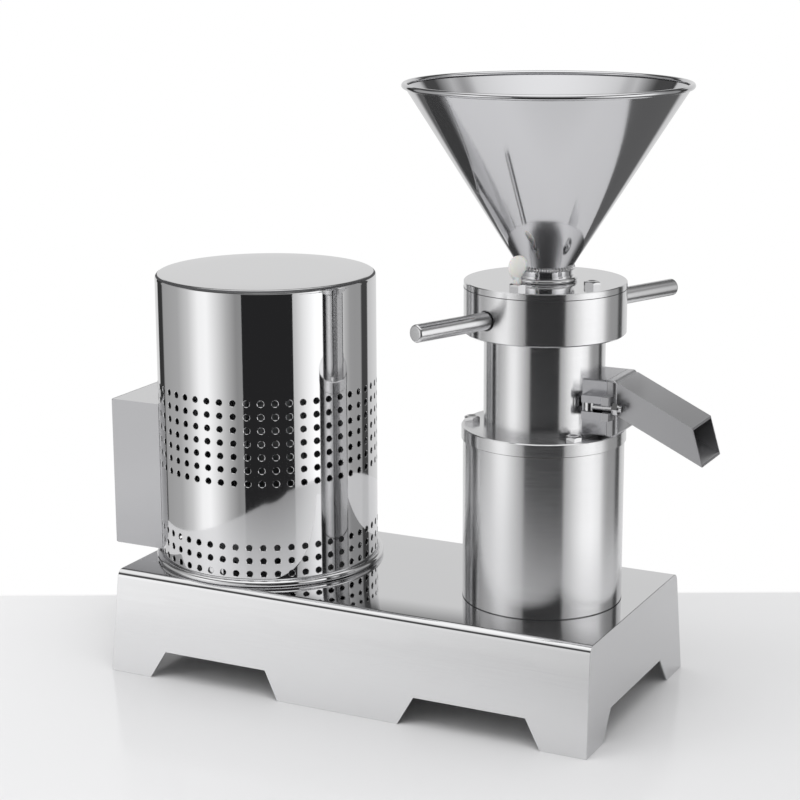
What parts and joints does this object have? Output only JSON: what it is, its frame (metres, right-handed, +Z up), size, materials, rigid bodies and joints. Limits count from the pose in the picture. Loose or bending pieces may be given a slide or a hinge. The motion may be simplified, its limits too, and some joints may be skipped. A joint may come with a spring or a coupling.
{
  "type": "nut butter grinding mill",
  "caption": "Split nut-butter mill: a covered motor drives an upright toothed-cone grinding head by V-belts in its folded base; hopper on top, clamped sloping spout at the side.",
  "frame": {"origin": "on the floor, at the middle of the rectangular base (not of the whole machine, whose electric box and spout overhang the base's ends)", "axes": "+X along the base from the motor to the grinding head and spout, +Y to the back, +Z up"},
  "size_m": [0.7492, 0.3878, 0.7186],
  "materials": {
    "satin_stainless": "brushed",
    "polished_stainless": "polished",
    "bright_steel": "turned",
    "hardened_steel": "ground",
    "cast_aluminium": "cast, matt",
    "grey_iron": "cast, matt",
    "lamination_steel": "stacked sheet",
    "copper_winding": "varnished",
    "black_rubber": "matt",
    "fibre_gasket": "matt",
    "white_silicone": "soft, satin",
    "black_plastic": "matt",
    "red_plastic": "glossy",
    "grey_plastic": "matt"
  },
  "bodies": {
    "base": {"base_cover": "satin_stainless", "mounting_plate": "satin_stainless", "motor_lower_shield": "cast_aluminium", "motor_frame": "cast_aluminium", "motor_upper_shield": "cast_aluminium", "stator_core": "lamination_steel", "stator_windings": "copper_winding", "motor_bearings": "bright_steel", "fan_cowl": "satin_stainless", "motor_bolts": "bright_steel", "motor_nuts": "bright_steel", "v_belts": "black_rubber", "motor_cover": "satin_stainless", "cover_brackets": "satin_stainless", "terminal_box": "satin_stainless", "terminal_box_lid": "satin_stainless", "box_lid_screws": "bright_steel", "switch_frame": "black_plastic", "start_capacitor": "grey_plastic", "terminal_block": "white_silicone", "cable_gland": "black_plastic", "bearing_housing": "polished_stainless", "housing_bolts": "bright_steel", "spindle_bearings": "bright_steel", "bearing_spacer": "bright_steel", "lower_bearing_cap": "bright_steel", "chamber_gasket": "fibre_gasket", "grinding_chamber": "polished_stainless", "flange_bolts": "bright_steel", "shaft_seal": "black_rubber", "stator_key": "bright_steel", "outlet_duct": "polished_stainless", "clamp_pins": "bright_steel", "spout": "polished_stainless"},
    "motor_turning": {"motor_shaft": "bright_steel", "motor_rotor": "lamination_steel", "motor_fan": "black_plastic", "motor_pulley": "grey_iron", "motor_key": "bright_steel"},
    "spindle_turning": {"spindle": "bright_steel", "spindle_pulley": "grey_iron", "spindle_key": "bright_steel", "grinding_rotor": "hardened_steel", "feed_cap": "polished_stainless"},
    "stator": {"grinding_stator": "hardened_steel"},
    "ring_group": {"adjusting_ring": "polished_stainless", "retaining_ring": "bright_steel", "front_handle": "polished_stainless", "rear_handle": "polished_stainless", "lid_plate": "polished_stainless", "lid_bolts": "bright_steel", "port_fitting": "bright_steel", "hopper_socket": "polished_stainless"},
    "hopper_group": {"hopper": "polished_stainless"},
    "plug_group": {"port_plug": "white_silicone"},
    "front_clamp": {"front_swing_bolt": "bright_steel", "front_swing_nut": "bright_steel"},
    "rear_clamp": {"rear_swing_bolt": "bright_steel", "rear_swing_nut": "bright_steel"},
    "rocker": {"power_switch": "red_plastic"}
  },
  "joints": [
    {"name": "motor_spin", "type": "hinge", "parent": "base", "child": "motor_turning", "pos_m": [-0.175, 0, 0.2], "axis": [0, 0, 1], "continuous": true},
    {"name": "spindle_spin", "type": "hinge", "parent": "base", "child": "spindle_turning", "pos_m": [0.1898, 0, 0.2], "axis": [0, 0, 1], "continuous": true},
    {"name": "stator_lift", "type": "slide", "parent": "base", "child": "stator", "axis": [0, 0, 1], "range_m": [-0.001, 0.002]},
    {"name": "ring_turn", "type": "hinge", "parent": "stator", "child": "ring_group", "pos_m": [0.1898, 0, 0.46], "axis": [0, 0, 1], "range_deg": [-90, 180]},
    {"name": "hopper_lift", "type": "slide", "parent": "ring_group", "child": "hopper_group", "axis": [0, 0, 1], "range_m": [0, 0.05]},
    {"name": "plug_pull", "type": "slide", "parent": "ring_group", "child": "plug_group", "axis": [0, 0, 1], "range_m": [0, 0.012]},
    {"name": "front_clamp_swing", "type": "hinge", "parent": "base", "child": "front_clamp", "pos_m": [0.2615, -0.042, 0.3675], "axis": [0, 0, 1], "range_deg": [-100, 0]},
    {"name": "rear_clamp_swing", "type": "hinge", "parent": "base", "child": "rear_clamp", "pos_m": [0.2615, 0.042, 0.3675], "axis": [0, 0, 1], "range_deg": [0, 100]},
    {"name": "rocker_tilt", "type": "hinge", "parent": "base", "child": "rocker", "pos_m": [-0.353, 0, 0.262], "axis": [0, 1, 0], "range_deg": [-8, 8]}
  ],
  "couplings": [
    {"joint": "spindle_spin", "follows": "motor_spin", "ratio": 1.2444},
    {"joint": "stator_lift", "follows": "ring_turn", "m_per_rad": 0.0006366}
  ]
}
